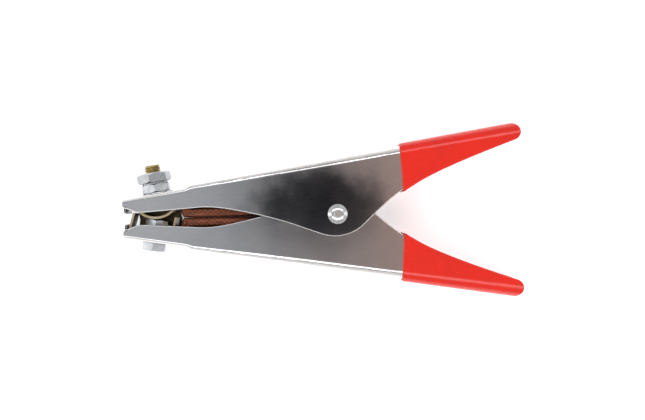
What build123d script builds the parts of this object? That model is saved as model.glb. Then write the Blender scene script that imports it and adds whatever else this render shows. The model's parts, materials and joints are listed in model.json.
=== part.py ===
from build123d import *
import os
from math import acos, cos, degrees, radians, sin, tan

# Spring ground clamp: two pressed steel arms cross at a rivet, with coated handles at +X and contact
# jaws at -X. The clamp lies on its side: Z is the pivot's axis, and Y is the way the jaws open.
# It rests on the rivet's far head, with its origin under the middle of the whole clamp.
# Each arm has its own frame: u runs along the arm's back towards the handle, v from the pivot
# towards the back, w across the channel. Both arms are the same stamping, turned over.

# ---- arms -------------------------------------------------------------------------------------
SHEET = 1.2  # thickness of the pressed steel
CHANNEL_WIDTH = 26.0  # outside width of an arm's channel
ARM_SLOPE = 9.1  # angle between an arm's back and the clamp's centre line, degrees
BACK_HEIGHT = 27.0  # pivot axis to the outside of the back
SEAT_DROP = 1.45  # the flat nose seat lies this far under the back
NOSE_REACH = 101.2  # pivot to the nose's front wall
HANDLE_REACH = 92.7  # pivot to the steel's handle tip
SEAT_END = -70.0  # where the nose seat ramps up to the rounded back
SEAT_RAMP = 2.4
NOSE_BEND = 1.7  # outside bend radius along the nose
STEP_BEND = 2.8  # outside bend radius where the rounded back starts
TIP_BEND = 5.4  # outside bend radius at the handle's tip
NOSE_CORNER = 1.6
CHIN_ROUND = 2.0
JAW_FRONT_RUN = 3.0  # level run between the chin and the jaw's edge
THROAT_ENTRY = 1.3  # slope of the throat's start, in jaw slopes
HANDLE_EDGE_STEPS = 12  # points that the coat's edge is drawn through
NOSE_TAB_DEPTH = 3.2  # how far the front wall reaches past the side plates
NOSE_TAB_INSET = 2.6
CHIN_LENGTH = 6.0  # length and rise of the chamfer under the nose
CHIN_RISE = 3.5
NOSE_DEPTH = 3.6  # height of the side plate's front edge
JAW_FALL = 0.0925  # slope of the jaw's edge along the arm
CREST = (-64.4, 15.1)  # top of the throat's curve, in the arm's frame
THROAT = [(-47.6, 10.5), (-25.5, 0.9)]
LOBE_RADIUS = 20.0  # rounded belly of the side plates under the pivot
LOBE_DEPTH = 10.6
LOBE_FRONT_ANGLE = 28.0
LOBE_REAR_ANGLE = 35.0
LOBE_CENTRE_U = 0.5
HANDLE_EDGE = [(24.9, 1.5), (41.8, 9.4), (62.4, 15.1)]
TIP_RADIUS = 3.2
TIP_FOOT_ANGLE = -80.0  # where the handle's edge meets the tip's round, degrees

# ---- pivot ------------------------------------------------------------------------------------
RIVET_RADIUS = 3.0
RIVET_HEAD_RADIUS = 4.75
RIVET_HEAD_HEIGHT = 2.1
RIVET_HEAD_LAND = 0.5
PIVOT_CLEARANCE = 0.06  # radial, on everything that the rivet passes through
PIVOT_WASHER = 0.5  # thickness of the washers between the nested side plates
PIVOT_WASHER_RADIUS = 7.5
BUSH_RADIUS = 5.0

# ---- spring -----------------------------------------------------------------------------------
WIRE = 2.4
COIL_GAP = 0.8  # between the bush and the inside of the coil
COIL_TURNS = 5  # whole turns, besides the part turn that sets the legs apart
COIL_PITCH = 2.7
SPRING_LEG_ANGLE = 40.0  # each leg's angle to the centre line
SPRING_FOOT = 5.5  # length of each leg's end, which lies along the arm's back
SPRING_FOOT_BEND = 3.0
SPRING_SEAT_GAP = 0.03

# ---- handle coats -----------------------------------------------------------------------------
COAT = 1.1  # thickness of the dipped coat outside the steel
COAT_INSIDE = 0.8
COAT_START = 31.0  # pivot to the middle of the coat's edge, along the centre line
COAT_LEAN = 3.5  # the coat's edge leans this much towards square with its arm, degrees
COAT_EDGE_MIDDLE = 22.0  # centre line to the middle of the coat's edge

# ---- terminal on the upper jaw ----------------------------------------------------------------
STUD_U = -85.0
STUD_RADIUS = 4.0  # M8 thread
STUD_PITCH_RADIUS = 3.6  # the thread inside the jaw and the nuts is drawn at its pitch radius
STUD_HEAD_RADIUS = 5.7
STUD_HEAD = 2.8
STUD_ABOVE_NUT = 3.8
STUD_POINT = 0.8
SCREW_CLEARANCE = 0.2  # radial, round a stud or bolt in a washer or plate
THREAD_CLEARANCE = 0.04  # radial, between a stud or bolt and its nut
BASE_WASHER = 0.8
BASE_WASHER_RADIUS = 7.8
BASE_NUT_FLATS = 13.0
BASE_NUT = 4.3
LOCK_WASHER = 0.7
LOCK_WASHER_RADIUS = 6.2
CLAMP_NUT_FLATS = 14.8
CLAMP_NUT = 4.7
BASE_NUT_TURN = 92.0  # a corner of each nut, turned from the arm's length, degrees
CLAMP_NUT_TURN = 79.0
NUT_BEVEL = 30.0  # degrees

# ---- bolt on the lower jaw --------------------------------------------------------------------
BOLT_U = -86.9
BOLT_RADIUS = 3.0
BOLT_HEAD_FLATS = 11.0
BOLT_HEAD = 4.0
BOLT_WASHER = 0.5
BOLT_WASHER_RADIUS = 6.2
BOLT_NUT = 4.9
BOLT_LOCK_WASHER = 1.4
BOLT_LOCK_RADIUS = 5.4
BOLT_TURN = 90.0
BOLT_END_RECESS = 0.2

# ---- contacts and bonding strap ---------------------------------------------------------------
BRASS = 1.1  # thickness of both contacts
CONTACT_WIDTH = 16.0
CONTACT_BEND = 1.6  # bend radius at the middle of the brass
CONTACT_SIDE_GAP = 0.4  # between a contact's ear and the channel's side
STRAP_END = 2.4  # thickness of the strap's pressed ends
STRAP_END_WIDTH = 15.6
STRAP_END_FRONT = -92.0
STRAP_END_REAR = -76.0
STRAP_END_CORNER = 2.0
BOW_U = -84.9  # centre of the upper contact's bow, in the arm's frame
BOW_SAG = 0.35  # the bow's centre lies this far above the nose seat
BOW_AND_NUT = 28.6  # height of the bow's bottom plus height of the lower nut's end, each in its own arm
BOW_REAR_ANGLE = 50.0
UPPER_FLAT_REAR = -77.6
EAR_FRONT = -98.0  # each contact's side ear, along the clamp's centre line
EAR_REAR = -77.0
EAR_PAST_CENTRE = 0.4  # the ears pass each other by this much at the centre line
LOWER_FRONT = (-98.9, -97.9)  # foot and tip of the lower contact's front horn, along the arm
LOWER_REAR = (-78.3, -77.4)
LOWER_FRONT_TIP = 12.9  # height of each horn's tip, in the arm's frame
LOWER_REAR_TIP = 12.2
STRAP = 4.6  # thickness of the braided strap
STRAP_WIDTH = 15.0
STRAP_GAP = 0.25  # from the centre line to each leg of the strap
STRAP_BEND = 3.4
STRAP_PART_BEND = 8.0
STRAP_SHOULDER = 3.1  # straight run out of the pressed end
STRAP_KNEE_X = -71.4  # where the legs come together
STRAP_PART_X = -34.0  # where they part again
STRAP_LOOP_X = -21.0
STRAP_LOOP_HALF = 8.0
STRAP_LOOP_BEND = 4.6
STRAP_COIL_GAP = 2.6  # between the strap's loop and the spring

# ---- sizes that follow ------------------------------------------------------------------------
TILT = radians(ARM_SLOPE)
HALF = CHANNEL_WIDTH / 2
NEST = (SHEET + PIVOT_WASHER) / 2  # each channel is shifted sideways by this much
SEAT_HEIGHT = BACK_HEIGHT - SEAT_DROP
WEB = SEAT_HEIGHT - SHEET  # inside face of the nose seat
STRAP_END_FACE = WEB - STRAP_END
CONTACT_FACE = STRAP_END_FACE - BRASS
BOLT_NUT_SEAT = CONTACT_FACE - BOLT_LOCK_WASHER - BOLT_NUT
BOW_RADIUS = SEAT_HEIGHT + BOW_SAG - (BOW_AND_NUT - BOLT_NUT_SEAT)
COIL_RADIUS = BUSH_RADIUS + COIL_GAP + WIRE / 2
OVERRUN = 1.0  # how far a cutting shape reaches past what it cuts
BELOW = LOBE_DEPTH + 4 * OVERRUN  # blanks reach this far under the pivot line
NOSE_EXTENT = (
    NOSE_CORNER + (NOSE_REACH - NOSE_CORNER) * cos(TILT) + (SEAT_HEIGHT - NOSE_CORNER) * sin(TILT)
)
TIP_EXTENT = (
    TIP_RADIUS + COAT + (HANDLE_REACH - TIP_RADIUS) * cos(TILT) - (BACK_HEIGHT - TIP_RADIUS) * sin(TILT)
)
PIVOT = ((NOSE_EXTENT - TIP_EXTENT) / 2, 0, HALF + NEST + max(RIVET_HEAD_HEIGHT, COAT))

CLAMP = Plane(origin=PIVOT)
UPPER = Plane(
    origin=CLAMP.from_local_coords((0, 0, NEST)),
    x_dir=(cos(TILT), sin(TILT), 0),
    z_dir=(0, 0, 1),
)
LOWER = Plane(
    origin=CLAMP.from_local_coords((0, 0, -NEST)),
    x_dir=(cos(TILT), -sin(TILT), 0),
    z_dir=(0, 0, -1),
)


def across(arm, u):
    """Plane that cuts an arm square at u, with x across the channel and y towards the back."""
    return Plane(origin=arm.from_local_coords((u, 0, 0)), x_dir=arm.z_dir, z_dir=-arm.x_dir)


def on_screw(arm, u, v):
    """Plane square to a screw in the arm's back, at height v, facing outwards."""
    return Plane(origin=arm.from_local_coords((u, v, 0)), x_dir=arm.x_dir, z_dir=arm.y_dir)


def in_arm(x, y):
    """A point of the clamp's side view, seen in the upper arm's frame."""
    return (x * cos(TILT) + y * sin(TILT), y * cos(TILT) - x * sin(TILT))


def in_clamp(u, v):
    """A point of the upper arm's frame, seen in the clamp's side view."""
    return (u * cos(TILT) - v * sin(TILT), u * sin(TILT) + v * cos(TILT))


def back_bend(u):
    """Outside bend radius of the rounded back at u."""
    start = SEAT_END + SEAT_RAMP
    return STEP_BEND + (TIP_BEND - STEP_BEND) * (u - start) / (HANDLE_REACH - start)


def channel_section(arm, u, height, bend, grow):
    """Outline of a channel blank at u: a rectangle with its two back corners bent, grown by grow."""
    with BuildSketch(across(arm, u)) as section:
        with Locations((0, height + grow)):
            Rectangle(CHANNEL_WIDTH + 2 * grow, height + grow + BELOW, align=(Align.CENTER, Align.MAX))
        fillet(section.vertices().group_by(Axis.Y)[-1], bend + grow)
    return section.sketch


def channel_blank(arm, grow, stations):
    """Solid channel through stations of (u, height, bend radius), grown by grow."""
    with BuildPart() as blank:
        for near, far in zip(stations, stations[1:]):
            loft(sections=[channel_section(arm, *near, grow), channel_section(arm, *far, grow)], ruled=True)
    return blank.part


def arm_blank(arm, grow, front, rear):
    """Blank of a whole arm: flat nose seat, ramp and rounded back."""
    rounded = SEAT_END + SEAT_RAMP
    stations = [
        (front, SEAT_HEIGHT, NOSE_BEND),
        (SEAT_END, SEAT_HEIGHT, NOSE_BEND),
        (rounded, BACK_HEIGHT, STEP_BEND),
        (rear, BACK_HEIGHT, back_bend(rear)),
    ]
    return channel_blank(arm, grow, stations)


def handle_blank(arm, grow, rear):
    """Blank of the handle's half of an arm, with a straight start so that its sides stay flat."""
    stations = [
        (-RIVET_RADIUS, BACK_HEIGHT, back_bend(0)),
        (0, BACK_HEIGHT, back_bend(0)),
        (rear, BACK_HEIGHT, back_bend(rear)),
    ]
    return channel_blank(arm, grow, stations)


def lobe_arc(grow):
    """The side plate's rounded belly under the pivot, from front to rear."""
    centre = (LOBE_CENTRE_U, LOBE_RADIUS - LOBE_DEPTH)
    sweep_angle = LOBE_FRONT_ANGLE + LOBE_REAR_ANGLE
    return CenterArc(centre, LOBE_RADIUS + grow, -90 - LOBE_FRONT_ANGLE, sweep_angle, mode=Mode.PRIVATE)


def tip_arc(grow):
    """The handle's rounded tip, from its open edge up to the back."""
    centre = (HANDLE_REACH - TIP_RADIUS, BACK_HEIGHT - TIP_RADIUS)
    return CenterArc(centre, TIP_RADIUS + grow, TIP_FOOT_ANGLE, 90 - TIP_FOOT_ANGLE, mode=Mode.PRIVATE)


def handle_edge(grow):
    """The handle's open edge, from the lobe to the tip, grown by grow."""
    lobe, tip = lobe_arc(0), tip_arc(0)
    edge = Spline([lobe @ 1, *HANDLE_EDGE, tip @ 0], tangents=[lobe % 1, tip % 0], mode=Mode.PRIVATE)
    if not grow:
        return edge
    steps = [step / HANDLE_EDGE_STEPS for step in range(HANDLE_EDGE_STEPS + 1)]
    points = [edge @ step + grow * (edge % step).rotate(Axis.Z, -90) for step in steps]
    return Spline(points, tangents=[edge % 0, edge % 1], mode=Mode.PRIVATE)


def side_profile():
    """Face of the side plate, in the arm's frame."""
    nose = -NOSE_REACH
    nose_low = SEAT_HEIGHT - NOSE_DEPTH
    chin = (nose + CHIN_LENGTH, nose_low - CHIN_RISE)
    jaw_front_u = chin[0] + JAW_FRONT_RUN
    jaw_front = (jaw_front_u, CREST[1] + JAW_FALL * (CREST[0] - jaw_front_u))
    lobe, tip = lobe_arc(0), tip_arc(0)
    with BuildSketch() as profile:
        with BuildLine():
            add([lobe, handle_edge(0), tip])
            Spline([CREST, *THROAT, lobe @ 0], tangents=[(1, -THROAT_ENTRY * JAW_FALL), lobe % 0])
            Polyline(
                tip @ 1,
                (SEAT_END, BACK_HEIGHT),
                (SEAT_END, SEAT_HEIGHT),
                (nose, SEAT_HEIGHT),
                (nose, nose_low),
                chin,
                jaw_front,
                CREST,
            )
        make_face()
        fillet(profile.vertices().sort_by_distance((nose, SEAT_HEIGHT))[0], NOSE_CORNER)
        fillet(profile.vertices().sort_by_distance(chin)[0], CHIN_ROUND)
    return profile.sketch


def grip_profile():
    """Face of the coat's side, in the arm's frame: the handle grown by the coat, past the coat's edge."""
    edge, tip = handle_edge(COAT), tip_arc(COAT)
    lean = tan(radians(COAT_LEAN))
    low = in_arm(COAT_START + lean * COAT_EDGE_MIDDLE, 0)
    high = in_arm(COAT_START + lean * (COAT_EDGE_MIDDLE - 2 * BACK_HEIGHT), 2 * BACK_HEIGHT)
    far = 2 * HANDLE_REACH
    with BuildSketch() as profile:
        with BuildLine():
            add([edge, tip])
            Polyline(tip @ 1, ((edge @ 0).X, (tip @ 1).Y), edge @ 0)
        make_face()
        with BuildLine():
            Polyline(low, high, (far, high[1]), (far, low[1]), close=True)
        make_face(mode=Mode.INTERSECT)
    return profile.sketch


def pressed_arm(arm, plate, screw_u, screw_radius):
    """One arm: a channel bent from sheet, trimmed to the side profile, with its nose wall and holes."""
    with BuildPart() as pressing:
        add(arm_blank(arm, 0, -NOSE_REACH, HANDLE_REACH + 5 * OVERRUN))
        add(arm_blank(arm, -SHEET, SHEET - NOSE_REACH, HANDLE_REACH + 6 * OVERRUN), mode=Mode.SUBTRACT)
        with BuildSketch(arm):
            add(plate)
        extrude(amount=CHANNEL_WIDTH, both=True, mode=Mode.INTERSECT)
        with BuildSketch(arm):
            with Locations((-NOSE_REACH, SEAT_HEIGHT - NOSE_DEPTH + SHEET)):
                Rectangle(SHEET, NOSE_TAB_DEPTH + SHEET, align=(Align.MIN, Align.MAX))
        extrude(amount=HALF - NOSE_TAB_INSET, both=True)
        with BuildSketch(arm):
            Circle(RIVET_RADIUS + PIVOT_CLEARANCE)
        extrude(amount=CHANNEL_WIDTH, both=True, mode=Mode.SUBTRACT)
        with BuildSketch(on_screw(arm, screw_u, SEAT_HEIGHT)):
            Circle(screw_radius + SCREW_CLEARANCE)
        extrude(amount=-2 * SHEET, mode=Mode.SUBTRACT)
    return pressing


def dipped_grip(arm, side, steel):
    """The coat on one handle: it covers the steel inside and out, and is closed at the tip."""
    with BuildPart() as coat:
        add(handle_blank(arm, COAT, HANDLE_REACH + COAT + OVERRUN))
        with BuildSketch(arm):
            add(side)
        extrude(amount=CHANNEL_WIDTH, both=True, mode=Mode.INTERSECT)
        add(handle_blank(arm, -SHEET - COAT_INSIDE, HANDLE_REACH - COAT), mode=Mode.SUBTRACT)
        add(steel, mode=Mode.SUBTRACT)
    return coat


def turned(plane, outline):
    """Piece of revolution about a plane's normal, from points of (radius, height)."""
    side = Plane(origin=plane.origin, x_dir=plane.x_dir, z_dir=-plane.y_dir)
    with BuildPart() as piece:
        with BuildSketch(side):
            with BuildLine():
                Polyline(*outline, close=True)
            make_face()
        revolve(axis=Axis(plane.origin, plane.z_dir))
    return piece


def hexagon(plane, flats, height, turn, bore):
    """A bevelled hexagon nut standing on plane, or a bolt's head where bore is 0."""
    corner = flats / 2 / cos(radians(30))
    bevel = (corner - flats / 2) * tan(radians(NUT_BEVEL))
    ring = [
        (bore, 0),
        (flats / 2, 0),
        (corner, bevel),
        (corner, height - bevel),
        (flats / 2, height),
        (bore, height),
    ]
    with BuildPart() as piece:
        add(turned(plane, ring).part)
        with BuildSketch(plane):
            RegularPolygon(flats / 2, 6, major_radius=False, rotation=turn)
        extrude(amount=height, mode=Mode.INTERSECT)
    return piece


def washer(plane, radius, bore, thickness):
    """A plain ring standing on plane."""
    return turned(plane, [(bore, 0), (radius, 0), (radius, thickness), (bore, thickness)])


def strap_end(arm, screw_u, screw_radius):
    """A pressed end of the strap: a flat block on the channel's web, with the screw through it."""
    with BuildPart() as block:
        with BuildSketch(on_screw(arm, STRAP_END_REAR, STRAP_END_FACE)):
            Rectangle(STRAP_END_REAR - STRAP_END_FRONT, STRAP_END_WIDTH, align=(Align.MAX, Align.CENTER))
        extrude(amount=STRAP_END)
        upright = block.edges().filter_by(Axis(arm.origin, arm.y_dir))
        fillet(upright.group_by(Axis.X)[0], STRAP_END_CORNER)
        with BuildSketch(on_screw(arm, screw_u, STRAP_END_FACE)):
            Circle(screw_radius + SCREW_CLEARANCE)
        extrude(amount=STRAP_END, mode=Mode.SUBTRACT)
    return block


def contact_ear(arm, side):
    """Side ear of a contact: it runs out beside the screw and stands along the channel's side wall."""
    outer = HALF - SHEET - CONTACT_SIDE_GAP
    top = STRAP_END_FACE
    front, rear = in_arm(EAR_FRONT, -EAR_PAST_CENTRE), in_arm(EAR_REAR, -EAR_PAST_CENTRE)
    with BuildPart() as ear:
        with BuildSketch(arm.offset(side * outer)):
            with BuildLine():
                Polyline(front, rear, (rear[0], top), (front[0], top), close=True)
            make_face()
        extrude(amount=-side * BRASS)
        reach = outer - CONTACT_WIDTH / 2 + BRASS
        with BuildSketch(on_screw(arm, front[0], CONTACT_FACE)):
            with Locations((0, -side * outer)):
                Rectangle(rear[0] - front[0], reach, align=(Align.MIN, EAR_ALIGN[side]))
        extrude(amount=BRASS)
    return ear.part


EAR_ALIGN = {1: Align.MIN, -1: Align.MAX}
os.makedirs("parts", exist_ok=True)


def save(piece, name):
    """Label a finished piece and write it as its own node."""
    piece.part.label = name
    export_step(piece.part, f"parts/{name}.step")


# ---- arms and their coats ---------------------------------------------------------------------
side_plate = side_profile()
grip_side = grip_profile()
upper_arm = pressed_arm(UPPER, side_plate, STUD_U, STUD_RADIUS)
save(upper_arm, "upper_arm")
lower_arm = pressed_arm(LOWER, side_plate, BOLT_U, BOLT_RADIUS)
save(lower_arm, "lower_arm")
save(dipped_grip(UPPER, grip_side, upper_arm.part), "upper_grip")
save(dipped_grip(LOWER, grip_side, lower_arm.part), "lower_grip")

# ---- pivot ------------------------------------------------------------------------------------
head_seat = HALF + NEST
rivet_top = head_seat + RIVET_HEAD_HEIGHT
dome_radius = (RIVET_HEAD_RADIUS**2 + (RIVET_HEAD_HEIGHT - RIVET_HEAD_LAND) ** 2) / (
    2 * (RIVET_HEAD_HEIGHT - RIVET_HEAD_LAND)
)
with BuildPart() as pivot_rivet:
    with BuildSketch(CLAMP.offset(-head_seat)):
        Circle(RIVET_RADIUS)
    extrude(amount=2 * head_seat)
    for side in (1, -1):
        with BuildSketch(CLAMP.offset(side * head_seat)):
            Circle(RIVET_HEAD_RADIUS)
        extrude(amount=side * RIVET_HEAD_LAND)
        with BuildSketch(Plane(origin=PIVOT, x_dir=(1, 0, 0), z_dir=(0, -side, 0))):
            with BuildLine():
                foot = (RIVET_HEAD_RADIUS, head_seat + RIVET_HEAD_LAND)
                dome = RadiusArc((0, rivet_top), foot, dome_radius)
                Polyline(foot, (0, foot[1]), (0, rivet_top))
            make_face()
        revolve(axis=Axis(PIVOT, (0, 0, 1)))
save(pivot_rivet, "pivot_rivet")

bush_half = HALF - SHEET - NEST
bore = RIVET_RADIUS + PIVOT_CLEARANCE
save(washer(CLAMP.offset(-bush_half), BUSH_RADIUS, bore, 2 * bush_half), "pivot_bush")
near_washer_seat = HALF - NEST
save(washer(CLAMP.offset(near_washer_seat), PIVOT_WASHER_RADIUS, bore, PIVOT_WASHER), "near_pivot_washer")
save(
    washer(CLAMP.offset(-near_washer_seat - PIVOT_WASHER), PIVOT_WASHER_RADIUS, bore, PIVOT_WASHER),
    "far_pivot_washer",
)

# ---- spring: a coil on the bush, with a leg to each arm's back --------------------------------
part_turn = 180 - 2 * SPRING_LEG_ANGLE
coil_rise = (COIL_TURNS + part_turn / 360) * COIL_PITCH
coil_start = radians(90 + SPRING_LEG_ANGLE)
coil_frame = Plane(
    origin=CLAMP.from_local_coords((0, 0, -coil_rise / 2)),
    x_dir=(cos(coil_start), sin(coil_start), 0),
    z_dir=(0, 0, 1),
)


def spring_leg(height, side):
    """One leg in the plane of the coil's end: tangent to the coil, then along the arm's back."""
    lean = radians(SPRING_LEG_ANGLE)
    leave = (-COIL_RADIUS * sin(lean), COIL_RADIUS * cos(lean))
    seat = BACK_HEIGHT - SHEET - WIRE / 2 - SPRING_SEAT_GAP
    reach = (seat - in_arm(*leave)[1]) / sin(lean - TILT)
    knee = (leave[0] + reach * cos(lean), leave[1] + reach * sin(lean))
    toe = (knee[0] + SPRING_FOOT * cos(TILT), knee[1] + SPRING_FOOT * sin(TILT))
    frame = CLAMP.offset(height)
    with BuildPart() as leg:
        with BuildLine(frame):
            FilletPolyline(*[(x, side * y) for x, y in (leave, knee, toe)], radius=SPRING_FOOT_BEND)
        start = frame.from_local_coords((leave[0], side * leave[1], 0))
        with BuildSketch(Plane(origin=start, z_dir=(cos(lean), side * sin(lean), 0))):
            Circle(WIRE / 2)
        sweep()
    return leg.part


with BuildPart() as torsion_spring:
    with BuildLine(coil_frame):
        coil = Helix(pitch=COIL_PITCH, height=coil_rise, radius=COIL_RADIUS)
    with BuildSketch(Plane(origin=coil @ 0, z_dir=coil % 0)):
        Circle(WIRE / 2)
    sweep(path=coil, is_frenet=True)
    add(spring_leg(-coil_rise / 2, 1))
    add(spring_leg(coil_rise / 2, -1))
save(torsion_spring, "torsion_spring")

# ---- terminal on the upper jaw ----------------------------------------------------------------
base_nut_seat = SEAT_HEIGHT + BASE_WASHER
lock_seat = base_nut_seat + BASE_NUT
clamp_nut_seat = lock_seat + LOCK_WASHER
stud_top = clamp_nut_seat + CLAMP_NUT + STUD_ABOVE_NUT
stud_bore = STUD_PITCH_RADIUS + THREAD_CLEARANCE
stud_hole = STUD_RADIUS + SCREW_CLEARANCE
stud_outline = [
    (0, -STUD_HEAD),
    (STUD_HEAD_RADIUS, -STUD_HEAD),
    (STUD_HEAD_RADIUS, 0),
    (STUD_PITCH_RADIUS, 0),
    (STUD_PITCH_RADIUS, stud_top - CONTACT_FACE - STUD_ABOVE_NUT),
    (STUD_RADIUS, stud_top - CONTACT_FACE - STUD_ABOVE_NUT),
    (STUD_RADIUS, stud_top - CONTACT_FACE - STUD_POINT),
    (STUD_RADIUS - STUD_POINT, stud_top - CONTACT_FACE),
    (0, stud_top - CONTACT_FACE),
]
save(turned(on_screw(UPPER, STUD_U, CONTACT_FACE), stud_outline), "terminal_stud")
base_washer_plane = on_screw(UPPER, STUD_U, SEAT_HEIGHT)
save(washer(base_washer_plane, BASE_WASHER_RADIUS, stud_hole, BASE_WASHER), "terminal_base_washer")
base_nut_plane = on_screw(UPPER, STUD_U, base_nut_seat)
save(hexagon(base_nut_plane, BASE_NUT_FLATS, BASE_NUT, BASE_NUT_TURN, stud_bore), "terminal_base_nut")
lock_plane = on_screw(UPPER, STUD_U, lock_seat)
save(washer(lock_plane, LOCK_WASHER_RADIUS, stud_hole, LOCK_WASHER), "terminal_lock_washer")
clamp_nut_plane = on_screw(UPPER, STUD_U, clamp_nut_seat)
save(hexagon(clamp_nut_plane, CLAMP_NUT_FLATS, CLAMP_NUT, CLAMP_NUT_TURN, stud_bore), "terminal_clamp_nut")

# ---- bolt on the lower jaw --------------------------------------------------------------------
bolt_head_seat = SEAT_HEIGHT + BOLT_WASHER
bolt_end = BOLT_NUT_SEAT + BOLT_END_RECESS
bolt_hole = BOLT_RADIUS + SCREW_CLEARANCE
with BuildPart() as lower_bolt:
    add(hexagon(on_screw(LOWER, BOLT_U, bolt_head_seat), BOLT_HEAD_FLATS, BOLT_HEAD, BOLT_TURN, 0).part)
    with BuildSketch(on_screw(LOWER, BOLT_U, bolt_end)):
        Circle(BOLT_RADIUS)
    extrude(amount=bolt_head_seat - bolt_end)
save(lower_bolt, "lower_bolt")
bolt_washer_plane = on_screw(LOWER, BOLT_U, SEAT_HEIGHT)
save(washer(bolt_washer_plane, BOLT_WASHER_RADIUS, bolt_hole, BOLT_WASHER), "lower_bolt_washer")
bolt_lock_plane = on_screw(LOWER, BOLT_U, CONTACT_FACE - BOLT_LOCK_WASHER)
save(washer(bolt_lock_plane, BOLT_LOCK_RADIUS, bolt_hole, BOLT_LOCK_WASHER), "lower_lock_washer")
bolt_nut_plane = on_screw(LOWER, BOLT_U, BOLT_NUT_SEAT)
nut_bore = BOLT_RADIUS + THREAD_CLEARANCE
save(hexagon(bolt_nut_plane, BOLT_HEAD_FLATS, BOLT_NUT, BOLT_TURN, nut_bore), "lower_nut")

# ---- contacts ---------------------------------------------------------------------------------
brass_middle = CONTACT_FACE + BRASS / 2
with BuildPart() as upper_contact:
    with BuildSketch(UPPER) as bow_side:
        with BuildLine():
            bow_centre = (BOW_U, SEAT_HEIGHT + BOW_SAG)
            front_angle = degrees(acos((bow_centre[1] - brass_middle) / BOW_RADIUS))
            bow = CenterArc(bow_centre, BOW_RADIUS, -90 - front_angle, front_angle + BOW_REAR_ANGLE)
            Line(bow @ 0, (UPPER_FLAT_REAR, brass_middle))
            fillet(bow.vertices().sort_by(Axis.X)[0], CONTACT_BEND)
        trace(line_width=BRASS)
    extrude(amount=CONTACT_WIDTH / 2, both=True)
    add(contact_ear(UPPER, -1))
    with BuildSketch(on_screw(UPPER, STUD_U, CONTACT_FACE)):
        Circle(stud_hole)
    extrude(amount=BRASS, mode=Mode.SUBTRACT)
save(upper_contact, "upper_contact")

with BuildPart() as lower_contact:
    with BuildSketch(LOWER):
        with BuildLine():
            FilletPolyline(
                (LOWER_FRONT[1], LOWER_FRONT_TIP),
                (LOWER_FRONT[0], brass_middle),
                (LOWER_REAR[0], brass_middle),
                (LOWER_REAR[1], LOWER_REAR_TIP),
                radius=CONTACT_BEND,
            )
        trace(line_width=BRASS)
    extrude(amount=CONTACT_WIDTH / 2, both=True)
    add(contact_ear(LOWER, 1))
    with BuildSketch(on_screw(LOWER, BOLT_U, CONTACT_FACE)):
        Circle(bolt_hole)
    extrude(amount=BRASS, mode=Mode.SUBTRACT)
save(lower_contact, "lower_contact")

# ---- bonding strap ----------------------------------------------------------------------------
save(strap_end(UPPER, STUD_U, STUD_RADIUS), "upper_strap_end")
save(strap_end(LOWER, BOLT_U, BOLT_RADIUS), "lower_strap_end")
leg_middle = STRAP_GAP + STRAP / 2
loop_front = -(COIL_RADIUS + WIRE / 2 + STRAP_COIL_GAP + STRAP / 2)
upper_route = [
    in_clamp(STRAP_END_REAR, WEB - STRAP / 2),
    in_clamp(STRAP_END_REAR + STRAP_SHOULDER, WEB - STRAP / 2),
    (STRAP_KNEE_X, leg_middle),
    (STRAP_PART_X, leg_middle),
    (STRAP_LOOP_X, STRAP_LOOP_HALF),
    (loop_front, STRAP_LOOP_HALF),
]
lower_route = [(x, -y) for x, y in reversed(upper_route)]
half_bends = [STRAP_BEND, STRAP_BEND, STRAP_PART_BEND, STRAP_LOOP_BEND, STRAP_LOOP_BEND]
with BuildPart() as bond_strap:
    with BuildSketch(CLAMP):
        with BuildLine():
            FilletPolyline(*upper_route, *lower_route, radius=[*half_bends, *reversed(half_bends)])
        trace(line_width=STRAP)
    extrude(amount=STRAP_WIDTH / 2, both=True)
save(bond_strap, "bond_strap")

print("pivot axis at", [round(place, 3) for place in PIVOT])
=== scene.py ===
"""Looks of the spring ground clamp: its formed pieces and finishes, the floor, lights and camera.

The clamp lies on its side. X runs from the jaws to the handles, Y is the way that the jaws open,
and Z runs along the pivot. Each arm has its own frame: x along its back towards the handle, y from
the pivot to the back, and z across it.
"""

import json
from math import atan2, cos, floor, pi, radians, sin, sqrt, tan

import bpy
from mathutils import Matrix, Vector


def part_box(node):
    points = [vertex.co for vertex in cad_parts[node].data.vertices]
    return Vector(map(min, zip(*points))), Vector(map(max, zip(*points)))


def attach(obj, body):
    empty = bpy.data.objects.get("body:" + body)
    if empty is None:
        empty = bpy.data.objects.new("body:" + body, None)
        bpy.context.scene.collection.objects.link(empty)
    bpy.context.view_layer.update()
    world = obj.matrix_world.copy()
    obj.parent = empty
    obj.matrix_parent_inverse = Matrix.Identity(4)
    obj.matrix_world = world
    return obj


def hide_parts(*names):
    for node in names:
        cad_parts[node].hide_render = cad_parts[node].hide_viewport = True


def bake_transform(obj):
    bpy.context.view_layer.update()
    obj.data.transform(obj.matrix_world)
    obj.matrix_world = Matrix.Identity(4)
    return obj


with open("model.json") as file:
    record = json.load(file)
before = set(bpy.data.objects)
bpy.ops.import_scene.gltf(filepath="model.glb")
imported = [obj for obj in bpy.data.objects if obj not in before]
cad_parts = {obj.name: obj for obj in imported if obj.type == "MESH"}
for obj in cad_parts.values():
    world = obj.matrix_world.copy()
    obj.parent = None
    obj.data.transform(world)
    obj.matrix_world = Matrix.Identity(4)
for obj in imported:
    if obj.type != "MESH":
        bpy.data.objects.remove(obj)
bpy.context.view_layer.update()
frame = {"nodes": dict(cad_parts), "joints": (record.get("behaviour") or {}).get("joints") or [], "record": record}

MM = 0.001

# ---- frames of the clamp and of its two arms ----------------------------------------------------
UP = Vector((0, 0, 1))
PIVOT = Vector(frame["joints"][0]["pos_m"])
stud_mount = next(m for m in frame["record"]["mounts"] if m["name"] == "terminal_stud")
STUD_AXIS = Vector(stud_mount["axis"]).normalized()
SLOPE = atan2(-STUD_AXIS.x, STUD_AXIS.y)


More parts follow.
